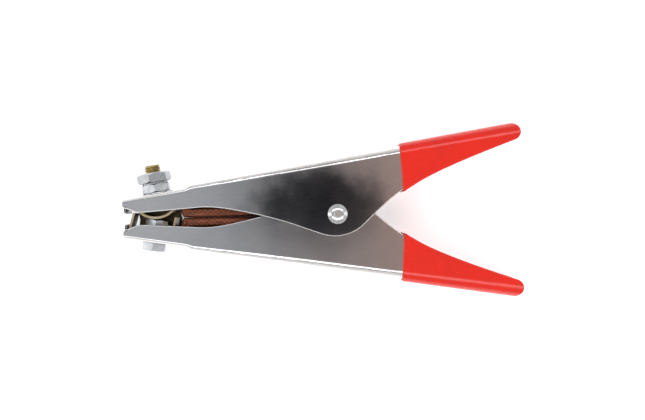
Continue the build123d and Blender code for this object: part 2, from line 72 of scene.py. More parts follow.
def from_columns(x, y, z, place):
    """Matrix of a frame with these axes at a place."""
    turn = Matrix((x, y, z)).transposed().to_4x4()
    return Matrix.Translation(place) @ turn


def arm_frame(side):
    """Frame of one arm at the pivot: side 1 is the upper arm, and -1 the lower one."""
    back = Vector((STUD_AXIS.x, side * STUD_AXIS.y, 0))
    z = side * UP
    return from_columns(back.cross(z), back, z, PIVOT)


UPPER = arm_frame(1)
LOWER = arm_frame(-1)


def in_frame(node, place):
    """A CAD node's points, seen in a frame."""
    back = place.inverted()
    return [back @ v.co for v in frame["nodes"][node].data.vertices]


def span(node, place):
    """Lowest and highest corner of a CAD node, seen in a frame."""
    points = in_frame(node, place)
    return [Vector([pick(p[i] for p in points) for i in range(3)]) for pick in (min, max)]


def stand(node, arm):
    """Frame of a screwed piece: its foot's middle, with z outwards along the screw. Gives its height too."""
    low, high = span(node, arm)
    foot = arm @ Vector(((low.x + high.x) / 2, low.y, (low.z + high.z) / 2))
    turn = arm.to_3x3()
    return from_columns(turn.col[0], -turn.col[2], turn.col[1], foot), high.y - low.y


def screw_stand(node, arm, like):
    """As stand, but on the axis of another node, for a piece that isn't round in plan."""
    place, height = stand(node, arm)
    middle = arm.inverted() @ stand(like, arm)[0].translation
    seat = arm @ Vector((middle.x, span(node, arm)[0].y, middle.z))
    return from_columns(place.col[0].xyz, place.col[1].xyz, place.col[2].xyz, seat), height


def reach(point):
    """A point's distance from the z axis."""
    return sqrt(point.x**2 + point.y**2)


def ring_of(node, place):
    """Inner and outer radius of a ring round a frame's z axis."""
    reaches = [reach(p) for p in in_frame(node, place)]
    return min(reaches), max(reaches)


def corner_of(node, place):
    """Radius and angle of the farthest corner from a frame's z axis."""
    far = max(in_frame(node, place), key=reach)
    return reach(far), atan2(far.y, far.x)


# ---- mesh tools ---------------------------------------------------------------------------------
def only(piece):
    """Selects one piece and nothing else."""
    bpy.ops.object.select_all(action="DESELECT")
    piece.select_set(True)
    bpy.context.view_layer.objects.active = piece


def start_edit(piece):
    """Opens a piece in edit mode with everything selected."""
    only(piece)
    bpy.ops.object.mode_set(mode="EDIT")
    bpy.ops.mesh.select_all(action="SELECT")


def end_edit(merge=1e-7):
    """Merges doubles, turns the faces outwards and leaves edit mode."""
    bpy.ops.mesh.select_all(action="SELECT")
    bpy.ops.mesh.remove_doubles(threshold=merge)
    bpy.ops.mesh.normals_make_consistent(inside=False)
    bpy.ops.object.mode_set(mode="OBJECT")


def modify(piece, kind, **settings):
    """Adds a modifier with these settings and applies it."""
    only(piece)
    modifier = piece.modifiers.new(kind.lower(), kind)
    for key, value in settings.items():
        setattr(modifier, key, value)
    bpy.ops.object.modifier_apply(modifier=modifier.name)


def soften(piece, width, segments=2, angle=32, smooth=32, clamp=True):
    """Rounds a piece's sharp edges and shades it smooth up to an angle."""
    modify(
        piece,
        "BEVEL",
        width=width,
        segments=segments,
        limit_method="ANGLE",
        angle_limit=radians(angle),
        use_clamp_overlap=clamp,
        miter_outer="MITER_ARC",
    )
    smooth_by(piece, smooth)


def smooth_by(piece, angle):
    """Shades a piece smooth where its faces meet at less than an angle."""
    only(piece)
    bpy.ops.object.shade_smooth_by_angle(angle=radians(angle))
    modify(piece, "WEIGHTED_NORMAL", keep_sharp=True, weight=80)


def placed(piece, place):
    """Moves a piece's mesh to its place, so that the object itself stays at the origin."""
    piece.data.transform(place)
    return piece


def copy_of(node, name):
    """A clean copy of a CAD node's mesh: merged, with its flat faces whole."""
    source = frame["nodes"][node]
    piece = bpy.data.objects.new(name, source.data.copy())
    bpy.context.collection.objects.link(piece)
    piece.data.materials.clear()
    start_edit(piece)
    bpy.ops.mesh.customdata_custom_splitnormals_clear()
    bpy.ops.mesh.remove_doubles(threshold=2e-6)
    bpy.ops.mesh.dissolve_limited(angle_limit=radians(0.4))
    end_edit(2e-6)
    return piece


def turned(name, outline, ring=64, closed=False):
    """A piece turned about Z from (radius, height) points. Its ends are capped, or meet where closed."""
    (radius, height), rest = outline[0], outline[1:]
    bpy.ops.object.select_all(action="DESELECT")
    bpy.ops.mesh.primitive_circle_add(vertices=ring, radius=radius, location=(0, 0, height))
    piece = bpy.context.object
    piece.name = name
    bpy.ops.object.transform_apply(location=True, rotation=True, scale=True)
    start_edit(piece)
    if not closed:
        bpy.ops.mesh.edge_face_add()
        bpy.ops.mesh.select_all(action="SELECT")
    bpy.ops.mesh.select_mode(type="EDGE")
    for next_radius, next_height in rest:
        step = (0, 0, next_height - height)
        bpy.ops.mesh.extrude_edges_move(TRANSFORM_OT_translate={"value": step})
        scale = next_radius / radius
        bpy.ops.transform.resize(value=(scale, scale, 1), center_override=(0, 0, next_height))
        radius, height = next_radius, next_height
    if not closed:
        bpy.ops.mesh.edge_face_add()
    bpy.ops.mesh.select_mode(type="VERT")
    end_edit()
    return piece


def cut(piece, tool, operation):
    """Cuts a piece with a tool, or keeps only what is inside it, and throws the tool away."""
    modify(piece, "BOOLEAN", object=tool, operation=operation, solver="EXACT")
    bpy.data.objects.remove(tool)


def declare(piece, body, slot, material, *nodes):
    """Gives a finished piece its finish, hides the CAD nodes that it stands for, and attaches it to the body that
    it rides on.
    """
    piece.data.materials.clear()
    piece.data.materials.append(material)
    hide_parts(*nodes)
    if body:
        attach(piece, body)
    return piece


# ---- material tools -----------------------------------------------------------------------------
class Finish:
    """A material's node tree, with short ways to add and join nodes."""

    def __init__(self, name):
        self.material = bpy.data.materials.new(name)
        self.material.use_nodes = True
        self.tree = self.material.node_tree
        self.shader = self.tree.nodes["Principled BSDF"]
        coordinates = self.tree.nodes.new("ShaderNodeTexCoord").outputs
        self.place = coordinates["Object"]
        self.facing = coordinates["Normal"]

    def add(self, kind, inputs=None, **settings):
        """Adds a node, sets its properties, and fills its sockets from values or other sockets."""
        node = self.tree.nodes.new("ShaderNode" + kind)
        for key, value in settings.items():
            setattr(node, key, value)
        for socket, value in (inputs or {}).items():
            self.join(value, node.inputs[socket])
        return node

    def join(self, value, socket):
        """Sets a socket to a value, or links it to another socket."""
        if isinstance(value, bpy.types.NodeSocket):
            self.tree.links.new(value, socket)
        else:
            socket.default_value = value

    def mapped(self, turn=(0, 0, 0), scale=(1, 1, 1), shift=(0, 0, 0)):
        """The piece's own coordinates, turned and stretched."""
        inputs = {"Vector": self.place, "Rotation": turn, "Scale": scale, "Location": shift}
        return self.add("Mapping", inputs).outputs[0]

    def noise(self, where, scale, detail=3.0, rough=0.5):
        """A noise pattern from 0 to 1."""
        inputs = {"Vector": where, "Scale": scale, "Detail": detail, "Roughness": rough}
        return self.add("TexNoise", inputs).outputs["Fac"]

    def between(self, value, low, high, to_low=0.0, to_high=1.0):
        """A value carried smoothly from one range to another."""
        inputs = {"Value": value, "From Min": low, "From Max": high, "To Min": to_low, "To Max": to_high}
        return self.add("MapRange", inputs, interpolation_type="SMOOTHSTEP").outputs[0]

    def sum(self, a, b, how="ADD"):
        """Two values added, multiplied or compared."""
        return self.add("Math", {0: a, 1: b}, operation=how).outputs[0]

    def vector(self, how, a, b):
        """Two vectors added, subtracted or multiplied."""
        return self.add("VectorMath", {0: a, 1: b}, operation=how).outputs[0]

    def length(self, vector):
        """A vector's length."""
        return self.add("VectorMath", {0: vector}, operation="LENGTH").outputs["Value"]

    def axes(self, vector):
        """A vector's three parts, by name."""
        return self.add("SeparateXYZ", {"Vector": vector}).outputs

    def mix(self, share, a, b, how="MIX"):
        """Two colours mixed by a share."""
        node = self.tree.nodes.new("ShaderNodeMix")
        node.data_type = "RGBA"
        node.blend_type = how
        self.join(share, node.inputs[0])
        self.join(a, node.inputs[6])
        self.join(b, node.inputs[7])
        return node.outputs[2]

    def bump(self, height, distance, strength=1.0, under=None):
        """A bump of this height in metres, on top of another one."""
        inputs = {"Height": height, "Distance": distance, "Strength": strength}
        if under is not None:
            inputs["Normal"] = under
        return self.add("Bump", inputs).outputs[0]

    def shade(self, **values):
        """Sets the shader's sockets, named with _ for a space."""
        for key, value in values.items():
            self.join(value, self.shader.inputs[key.replace("_", " ")])
        return self.material


def rgb(red, green, blue):
    """A colour in linear light."""
    return (red, green, blue, 1.0)


# ---- finishes -----------------------------------------------------------------------------------
PLATING = rgb(0.51, 0.52, 0.53)
# painted warm reflection, for the plating towards the handles
PAINTED_WARM_REFLECTION = rgb(0.57, 0.50, 0.475)
DULL_PLATING = rgb(0.42, 0.42, 0.43)
DARK_PLATING = rgb(0.30, 0.30, 0.31)
# painted shade, for the faces inside the arms' channels
PAINTED_CHANNEL_SHADE = rgb(0.09, 0.085, 0.075)
# painted dark reflection, for the plating round the pivot
PAINTED_DARK_REFLECTION = rgb(0.06, 0.064, 0.072)
# painted highlight, for the arms' rounded edges
PAINTED_EDGE_HIGHLIGHT = rgb(0.88, 0.85, 0.82)
# painted shade, for the nose's front wall
PAINTED_NOSE_SHADE = rgb(0.018, 0.017, 0.015)
RED_COAT = rgb(0.77, 0.013, 0.002)
DEEP_RED_COAT = rgb(0.54, 0.013, 0.006)
PALE_RED_COAT = rgb(0.68, 0.10, 0.07)
GRIME = rgb(0.12, 0.11, 0.09)
ZINC = rgb(0.55, 0.56, 0.57)
BLUE_ZINC = rgb(0.43, 0.445, 0.47)
YELLOW_PLATE = rgb(0.52, 0.42, 0.18)
BROWN_PLATE = rgb(0.30, 0.22, 0.11)
BRIGHT_STEEL = rgb(0.78, 0.78, 0.77)
GREY_STEEL = rgb(0.60, 0.60, 0.60)
BRASS = rgb(0.60, 0.51, 0.355)
BROWNED_BRASS = rgb(0.48, 0.36, 0.19)
RUBBED_BRASS = rgb(0.93, 0.87, 0.70)
# painted shade, for the contacts' brass deep in the jaws
PAINTED_SHADE_BRASS = rgb(0.06, 0.052, 0.03)
COPPER = rgb(0.40, 0.14, 0.08)
BROWN_COPPER = rgb(0.27, 0.10, 0.06)
DARK_COPPER = rgb(0.10, 0.04, 0.025)
SPRING_STEEL = rgb(0.20, 0.20, 0.21)
BROWN_SPRING_STEEL = rgb(0.15, 0.13, 0.11)

CHANNEL_MIDDLE = 12.0 * MM  # an arm's middle line, from the pivot towards the back
NOSE_WALL = 99.4 * MM  # the front wall lies past this, along the arm
NOSE_SHADE_TOP = 21.9 * MM  # and gets painted shade below this, where it shows under the side plate
FRONT_FADE, LOW_FADE = 0.3 * MM, 0.4 * MM  # half widths of the painted shade's two edges
# painted dark reflection round the pivot: its middle, shape, ragged edge and fade
REFLECTION_MIDDLE = PIVOT + Vector((-9.0, 2.5, 0)) * MM
REFLECTION_SHAPE = (0.7, 1, 0)  # the painted dark reflection is stretched along the clamp
REFLECTION_RAGGED = 4.0 * MM
REFLECTION_WHOLE, REFLECTION_GONE = 11.0 * MM, 28.0 * MM  # the painted dark reflection fades from the first to the second
DEEP_SHADE_HEIGHT, UNSHADED_HEIGHT = 9.0 * MM, 22.5 * MM  # painted shade darkens the contacts' brass towards the floor, deep in the jaws
BRAID_WIRES = 6  # wires side by side in one strand


def arm_inside(f, arm):
    """Share of painted shade on a face of an arm that looks into its channel, and its place in the arm's frame."""
    home = arm.inverted()
    turn = tuple(home.to_euler())
    local = f.mapped(turn=turn, shift=tuple(home.translation))
    facing = f.add("Mapping", {"Vector": f.facing, "Rotation": turn}).outputs[0]
    out = f.vector("SUBTRACT", local, (0, CHANNEL_MIDDLE, 0))
    across = f.vector("MULTIPLY", out, (0, 1, 1))
    outwards = f.add("VectorMath", {0: across, 1: facing}, operation="DOT_PRODUCT").outputs["Value"]
    return f.between(outwards, -0.002, 0.0005, 0.85, 0.0), f.axes(local)


def nose_shade(f, at):
    """Share of painted shade on the nose's wall, where it shows under the side plates."""
    front = f.between(at["X"], -NOSE_WALL - FRONT_FADE, -NOSE_WALL + FRONT_FADE, 1.0, 0.0)
    low = f.between(at["Y"], NOSE_SHADE_TOP - LOW_FADE, NOSE_SHADE_TOP + LOW_FADE, 1.0, 0.0)
    return f.sum(f.sum(front, low, "MULTIPLY"), 0.95, "MULTIPLY")


def dark_reflection(f, clouds, upright):
    """Share of painted dark reflection round the pivot, with a ragged edge, on the faces along the clamp's side.
    """
    from_middle = f.vector("MULTIPLY", f.vector("SUBTRACT", f.place, tuple(REFLECTION_MIDDLE)), REFLECTION_SHAPE)
    ragged = f.sum(f.length(from_middle), f.between(clouds, 0.3, 0.7, -REFLECTION_RAGGED, REFLECTION_RAGGED))
    # painted dark reflection, fading out from the pivot
    oil = f.between(ragged, REFLECTION_WHOLE, REFLECTION_GONE, 0.85, 0.0)
    return f.sum(oil, f.between(upright, 0.8, 0.97), "MULTIPLY")


def plated_steel(name, slope, arm, darkened):
    """Bright plating over rolled sheet: faint rolling lines along the arm, clouding, and a painted warm
    reflection towards the handles.

    It has painted shade inside the channel and on the nose's wall, a painted highlight on the rounded
    edges, and a painted dark reflection round the pivot of an arm that is darkened.
    """
    f = Finish(name)
    lines = f.noise(f.mapped(turn=(0, 0, -slope), scale=(1, 22, 22)), 160, detail=5, rough=0.6)
    clouds = f.noise(f.place, 55, detail=3, rough=0.55)
    specks = f.noise(f.place, 1500, detail=2)
    hairlines = f.noise(f.mapped(turn=(0, 0, -slope + 0.35), scale=(1, 40, 40)), 260, detail=2)
    scratches = f.between(hairlines, 0.66, 0.74)
    # painted warm reflection: the plating turns warmer along the clamp towards the handles
    along = f.sum(f.axes(f.place)["X"], f.between(clouds, 0.3, 0.7, -0.012, 0.012))
    colour = f.mix(f.between(along, -0.055, 0.05), PLATING, PAINTED_WARM_REFLECTION)
    colour = f.mix(f.between(clouds, 0.35, 0.7, 0.0, 0.3), colour, DULL_PLATING)
    colour = f.mix(f.between(lines, 0.3, 0.7, 0.0, 0.16), colour, DARK_PLATING)
    colour = f.mix(f.between(specks, 0.72, 0.8, 0.0, 0.2), colour, DARK_PLATING)
    # painted shade on the faces that look into the channel
    inside, at = arm_inside(f, arm)
    colour = f.mix(inside, colour, PAINTED_CHANNEL_SHADE)
    # painted shade on the nose's front wall
    colour = f.mix(nose_shade(f, at), colour, PAINTED_NOSE_SHADE)
    upright = f.axes(f.facing)["Z"]
    # painted dark reflection round the pivot
    if darkened:
        colour = f.mix(dark_reflection(f, clouds, upright), colour, PAINTED_DARK_REFLECTION)
    # painted highlight on the rounded edges, picked by the way they face
    edge_highlight = f.sum(f.between(upright, 0.86, 0.96, 1.0, 0.0), f.between(upright, 0.1, 0.4), "MULTIPLY")
    colour = f.mix(edge_highlight, colour, PAINTED_EDGE_HIGHLIGHT)
    rough = f.sum(f.between(clouds, 0.3, 0.75, 0.07, 0.11), f.between(lines, 0.3, 0.7, 0.0, 0.03))
    for share, more in ((scratches, 0.08), (inside, 0.3), (edge_highlight, 0.3)):
        rough = f.sum(rough, f.sum(share, more, "MULTIPLY"))
    waves = f.bump(f.noise(f.place, 32, detail=1), 0.0003, 0.3)
    grain = f.bump(lines, 0.000004, 0.5, waves)
    return f.shade(Base_Color=colour, Metallic=1.0, Roughness=rough, Normal=grain)


def dipped_vinyl():
    """Glossy red coat: slow waves from dripping, fine orange peel, and handling marks."""
    f = Finish("dipped red vinyl")
    cloud = f.noise(f.place, 60, detail=3)
    smears = f.noise(f.mapped(scale=(1, 3, 3)), 240, detail=4, rough=0.65)
    dust = f.noise(f.place, 2600, detail=1)
    tone = f.mix(f.between(cloud, 0.3, 0.7, 0.0, 0.35), RED_COAT, DEEP_RED_COAT)
    tone = f.mix(f.between(dust, 0.76, 0.84, 0.0, 0.04), tone, PALE_RED_COAT)
    rough = f.between(smears, 0.3, 0.75, 0.2, 0.28)
    drips = f.bump(f.noise(f.mapped(scale=(0.6, 1, 1)), 70, detail=1), 0.0002, 0.2)
    peel = f.bump(f.noise(f.place, 900, detail=1), 0.000006, 0.25, drips)
    return f.shade(
        Base_Color=tone,
        Roughness=rough,
        Normal=peel,
        IOR=1.5,
        Coat_Weight=0.1,
        Coat_Roughness=0.12,
    )


def turned_metal(name, place, colour, tint, roughness, ridges=10400):
    """Machined metal with faint tool rings round a screw's own axis, a cloudy tint and small dents."""
    f = Finish(name)
    home = place.inverted()
    local = f.mapped(turn=tuple(home.to_euler()), shift=tuple(home.translation))
    cloud = f.noise(f.place, 210, detail=3, rough=0.6)
    out = f.length(f.vector("MULTIPLY", local, (1, 1, 0)))
    rings = f.sum(f.sum(out, ridges, "MULTIPLY"), 0.0, "SINE")
    pits = f.noise(f.place, 1700, detail=3)
    tone = f.mix(f.between(cloud, 0.35, 0.7), colour, tint)
    tone = f.mix(f.between(pits, 0.68, 0.8, 0.0, 0.35), tone, GRIME)
    rough = f.between(cloud, 0.3, 0.7, roughness - 0.05, roughness + 0.06)
    rough = f.sum(rough, f.between(pits, 0.6, 0.8, 0.0, 0.1))
    tool = f.bump(rings, 0.000004, 0.35)
    dents = f.bump(f.noise(f.place, 620, detail=2), 0.00003, 0.35, tool)
    return f.shade(Base_Color=tone, Metallic=1.0, Roughness=rough, Normal=dents)


def worn_brass():
    """Sheet brass of the contacts: rubbed pale where it grips, browned in clouds, with painted shade towards the
    floor.
    """
    f = Finish("worn brass")
    rub = f.noise(f.mapped(scale=(1, 1, 6)), 260, detail=4, rough=0.65)
    cloud = f.noise(f.place, 120, detail=2)
    tone = f.mix(f.between(cloud, 0.35, 0.7, 0.0, 0.55), BRASS, BROWNED_BRASS)
    tone = f.mix(f.between(rub, 0.55, 0.75, 0.0, 0.7), tone, RUBBED_BRASS)
    # painted shade, deeper towards the floor
    deep_shade = f.between(f.axes(f.place)["Z"], DEEP_SHADE_HEIGHT, UNSHADED_HEIGHT, 0.93, 0.0)
    tone = f.mix(deep_shade, tone, PAINTED_SHADE_BRASS)
    rough = f.between(rub, 0.3, 0.7, 0.38, 0.24)
    marks = f.bump(rub, 0.00002, 0.4)
    return f.shade(Base_Color=tone, Metallic=1.0, Roughness=rough, Normal=marks)


def copper_braid():
    """Braided copper: fine wires along each strand, dulled between the strands."""
    f = Finish("copper braid")
    across = f.axes(f.add("UVMap", uv_map="strands").outputs[0])["X"]
    depth = f.add("Attribute", attribute_name="lie", attribute_type="GEOMETRY").outputs["Fac"]
    wires = f.sum(f.sum(across, 2 * pi * BRAID_WIRES, "MULTIPLY"), 0.0, "SINE")
    cloud = f.noise(f.place, 130, detail=3, rough=0.6)
    tone = f.mix(f.between(cloud, 0.35, 0.7), COPPER, BROWN_COPPER)
    tone = f.mix(f.between(depth, 0.35, 0.9, 0.75, 0.0), tone, DARK_COPPER)
    rough = f.between(cloud, 0.3, 0.7, 0.34, 0.5)
    wired = f.bump(f.between(wires, -1, 1), 0.00006, 0.7)
    return f.shade(Base_Color=tone, Metallic=1.0, Roughness=rough, Normal=wired)


def pressed_copper():
    """The strap's ends, pressed flat: the weave is left as a shallow grain."""
    f = Finish("pressed copper")
    weave = f.add("TexVoronoi", {"Vector": f.mapped(scale=(1, 1, 1.6)), "Scale": 900}).outputs["Distance"]
    cloud = f.noise(f.place, 150, detail=3, rough=0.6)
    tone = f.mix(f.between(cloud, 0.35, 0.7), COPPER, BROWN_COPPER)
    tone = f.mix(f.between(weave, 0.3, 0.8, 0.0, 0.5), tone, DARK_COPPER)
    rough = f.between(cloud, 0.3, 0.7, 0.3, 0.45)
    grain = f.bump(weave, 0.00008, 0.6)
    return f.shade(Base_Color=tone, Metallic=1.0, Roughness=rough, Normal=grain)


def oiled_spring():
    """Dark oil-tempered spring wire with faint drawing lines."""
    f = Finish("oiled spring wire")
    lines = f.noise(f.mapped(scale=(1, 1, 12)), 500, detail=3)
    cloud = f.noise(f.place, 180, detail=2)
    tone = f.mix(f.between(cloud, 0.3, 0.7), SPRING_STEEL, BROWN_SPRING_STEEL)
    rough = f.between(cloud, 0.3, 0.7, 0.26, 0.4)
    return f.shade(Base_Color=tone, Metallic=1.0, Roughness=rough, Normal=f.bump(lines, 0.00001, 0.5))


# the upper arm gets the painted dark reflection round the pivot
upper_plating = plated_steel("plated steel of the upper arm", SLOPE, UPPER, darkened=True)
lower_plating = plated_steel("plated steel of the lower arm", -SLOPE, LOWER, darkened=False)
red_vinyl = dipped_vinyl()
brass = worn_brass()
braid = copper_braid()
flat_copper = pressed_copper()
spring_wire = oiled_spring()

# ---- arms and their coats -----------------------------------------------------------------------
SHEARED_EDGE = 0.46 * MM  # rounding of the pressed arms' edges
COAT_EDGE = 0.55 * MM  # rounding of the dipped coats' edges
for side, jaw, plating in (("upper", "upper_jaw", upper_plating), ("lower", "lower_jaw", lower_plating)):
    arm = copy_of(f"{side}_arm", f"{side}_arm_pressing")
    soften(arm, SHEARED_EDGE, segments=3, clamp=False)
    declare(arm, jaw, "plated_steel", plating, f"{side}_arm")
    coat = copy_of(f"{side}_grip", f"{side}_dipped_coat")
    soften(coat, COAT_EDGE, segments=4, clamp=False)
    declare(coat, jaw, "red_coat", red_vinyl, f"{side}_grip")

# ---- pivot --------------------------------------------------------------------------------------
RIVET_FLAT = 1.1 * MM  # radius of the flat left in the middle of each formed head
HEAD_STEPS = 9
HEAD_CHAMFER = 0.25 * MM
WALL_SHARE = 0.22  # share of a head's height that is its upright wall
CORE = 2.5 * MM  # the rivet is solid at least this far out
AT_PIVOT = Matrix.Translation(PIVOT)
rivet_low, rivet_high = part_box("pivot_rivet")
rivet_reaches = [reach(p) for p in in_frame("pivot_rivet", AT_PIVOT) if abs(p.z) > MM]
shank_radius = min(r for r in rivet_reaches if r > CORE)
head_radius = (rivet_high[0] - rivet_low[0]) / 2
plate_faces = (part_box("lower_arm")[0][2] - PIVOT.z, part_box("upper_arm")[1][2] - PIVOT.z)


def head_outline(seat, top, radius):
    """Points of a formed head from its seat to its flat: a short wall, then a low dome."""
    wall = seat + WALL_SHARE * (top - seat)
    points = [(radius - HEAD_CHAMFER, seat), (radius, seat + (wall - seat) / 4), (radius, wall)]
    for step in range(1, HEAD_STEPS + 1):
        share = step / HEAD_STEPS
        out = radius + (RIVET_FLAT - radius) * share
        rise = 1 - ((out - RIVET_FLAT) / (radius - RIVET_FLAT)) ** 2.3
        points.append((out, wall + (top - wall) * rise))
    return points


far_head = head_outline(plate_faces[0], rivet_low[2] - PIVOT.z, head_radius)
near_head = head_outline(plate_faces[1], rivet_high[2] - PIVOT.z, head_radius)
rivet_shank = [(shank_radius, face) for face in plate_faces]
rivet = turned("formed_rivet", [*reversed(far_head), *rivet_shank, *near_head], 72)
placed(rivet, AT_PIVOT)
smooth_by(rivet, 40)
rivet_steel = turned_metal("rivet steel", AT_PIVOT, BRIGHT_STEEL, GREY_STEEL, 0.2, ridges=18000)
declare(rivet, "upper_jaw", "bright_steel", rivet_steel, "pivot_rivet")
for node in ("pivot_bush", "near_pivot_washer", "far_pivot_washer"):
    frame["nodes"][node].data.materials.clear()
    frame["nodes"][node].data.materials.append(rivet_steel)

# ---- spring: a coil round the bush, with a leg to each arm's back -------------------------------
WIRE = 1.2 * MM  # radius of the wire
COIL = 7.0 * MM  # radius to the wire's middle
COIL_RISE = 14.25 * MM
COIL_TURNS = 5 + 100 / 360
LEG_ANGLE = radians(40)
FOOT = 5.5 * MM
FOOT_BEND = 3.0 * MM
LEG_SEAT = 24.57 * MM  # the foot's middle, from the pivot to the back
COIL_STEPS = 60  # points in one turn
BEND_STEPS = 6


def leg_points(height, side):
    """A leg's middle line from its foot to the coil, with its knee rounded."""
    leave = Vector((-COIL * sin(LEG_ANGLE), COIL * cos(LEG_ANGLE)))
    lean = Vector((cos(LEG_ANGLE), sin(LEG_ANGLE)))
    back = Vector((cos(SLOPE), sin(SLOPE)))
    across = Vector((-sin(SLOPE), cos(SLOPE)))
    knee = leave + lean * (LEG_SEAT - leave.dot(across)) / lean.dot(across)
    turn = (LEG_ANGLE - SLOPE) / 2
    run = FOOT_BEND * tan(turn)
    centre = knee + (back * run) - across * FOOT_BEND
    points = [knee + back * FOOT]
    for step in range(BEND_STEPS + 1):
        angle = pi / 2 + SLOPE + 2 * turn * step / BEND_STEPS
        points.append(centre + FOOT_BEND * Vector((cos(angle), sin(angle))))
    return [Vector((p.x, side * p.y, height)) for p in points]


def spring_line():
    """The whole wire's middle line: the upper leg, the coil and the lower leg."""
    start = pi / 2 + LEG_ANGLE
    steps = round(COIL_STEPS * COIL_TURNS)
    coil = []
    for step in range(steps + 1):
        angle = start + 2 * pi * COIL_TURNS * step / steps
        height = COIL_RISE * (step / steps - 0.5)
        coil.append(Vector((COIL * cos(angle), COIL * sin(angle), height)))
    return [*leg_points(-COIL_RISE / 2, 1), *coil, *reversed(leg_points(COIL_RISE / 2, -1))]


def bent_wire(name, points, radius, sides=6):
    """A round wire along points, closed at its ends."""
    curve = bpy.data.curves.new(name, "CURVE")
    curve.dimensions = "3D"
    curve.bevel_depth = radius
    curve.bevel_resolution = sides
    curve.use_fill_caps = True
    line = curve.splines.new("POLY")
    line.points.add(len(points) - 1)
    for point, place in zip(line.points, points):
        point.co = (*place, 1)
    piece = bpy.data.objects.new(name, curve)
    bpy.context.collection.objects.link(piece)
    only(piece)
    bpy.ops.object.convert(target="MESH")
    piece = bpy.context.object
    start_edit(piece)
    end_edit(1e-6)
    return piece


spring = bent_wire("coiled_spring", [PIVOT + p for p in spring_line()], WIRE)
smooth_by(spring, 45)
declare(spring, None, "spring_steel", spring_wire, "torsion_spring")
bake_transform(spring)

# ---- screws, nuts and washers -------------------------------------------------------------------
EDGE_BREAK = 0.12 * MM
NUT_BEVEL = radians(30)
BORE_BEVEL = 0.55 * MM
FACE_MARGIN = 0.2 * MM  # a hexagon's end circle lies this far inside its flats
THREAD_ROOT, THREAD_CREST = 0.14, 0.82  # shares of a thread's half pitch where its side starts and ends
THREAD_DEPTH = 0.6  # depth of a thread, in pitches
STEPS_A_PITCH = 12
PUNCH_ROLL = 0.3 * MM
SPLIT_GAP = radians(9)
SPLIT_LIFT = 0.18  # how far a split washer's ends stand apart, as a share of its height
SPLIT_EDGE = 0.1 * MM
LOCK_TURN = radians(200)
PAST = 0.5 * MM  # how far a cutting shape reaches past what it cuts


def hexagon(name, place, height, corner, turn, bore=0.0, head=False):
    """A hexagon nut or head on a frame's floor: its corners are turned down, and its bore is countersunk."""
    bpy.ops.object.select_all(action="DESELECT")
    middle = (0, 0, height / 2)
    bpy.ops.mesh.primitive_cylinder_add(
        vertices=6, radius=corner, depth=height, location=middle, rotation=(0, 0, turn - pi / 2)
    )
    piece = bpy.context.object
    piece.name = name
    bpy.ops.object.transform_apply(location=True, rotation=True, scale=True)
    flats = corner * cos(pi / 6) - FACE_MARGIN
    wide, narrow = corner + PAST, flats - PAST / tan(NUT_BEVEL)
    drop = (wide - flats) * tan(NUT_BEVEL)
    outline = [(wide, -PAST)] if head else [(narrow, -PAST), (wide, drop)]
    outline += [(wide, height - drop), (narrow, height + PAST)]
    cut(piece, turned("turning", outline, 90), "INTERSECT")
    if bore:
        mouth = bore + BORE_BEVEL + PAST
        hole = [(mouth, -PAST), (bore, BORE_BEVEL), (bore, height - BORE_BEVEL), (mouth, height + PAST)]
        cut(piece, turned("boring", hole, 50), "DIFFERENCE")
    start_edit(piece)
    end_edit(1e-6)
    soften(piece, EDGE_BREAK, segments=2, angle=24, smooth=24)
    return placed(piece, place)


def thread_height(phase):
    """Height of a thread's side, from 0 at its root to 1 at its crest."""
    rise = abs(2 * (phase - floor(phase)) - 1)
    return min(1.0, max(0.0, (rise - THREAD_ROOT) / (THREAD_CREST - THREAD_ROOT)))


def threaded(name, radius, pitch, foot, top, point):
    """The visible end of a threaded rod about Z, with its point turned down."""
    rows = round((top - foot) / (pitch / STEPS_A_PITCH))
    outline = [(radius, foot + (top - foot) * row / rows) for row in range(rows + 1)]
    rod = turned(name, outline, 64)
    depth = THREAD_DEPTH * pitch
    for vertex in rod.data.vertices:
        angle = atan2(vertex.co.y, vertex.co.x)
        cone = radius - point + max(0.0, top - vertex.co.z)
        out = radius - depth * (1 - thread_height(vertex.co.z / pitch - angle / (2 * pi)))
        share = min(out, cone) / radius
        vertex.co.x *= share
        vertex.co.y *= share
    return rod


def flat_washer(node, arm, like, name, body, slot, material):
    """A punched washer: one face rounded over from the punch, the other with a sharp edge."""
    place, height = screw_stand(node, arm, like)
    inner, outer = ring_of(node, place)
    roll = min(PUNCH_ROLL, height / 2)
    outline = [
        (inner, 0),
        (outer, 0),
        (outer, height - roll),
        (outer - 0.3 * roll, height - 0.3 * roll),
        (outer - roll, height),
        (inner + roll, height),
        (inner, height - roll),
        (inner, 0),
    ]
    piece = placed(turned(name, outline, 72, closed=True), place)
    smooth_by(piece, 30)
    return declare(piece, body, slot, material, node)


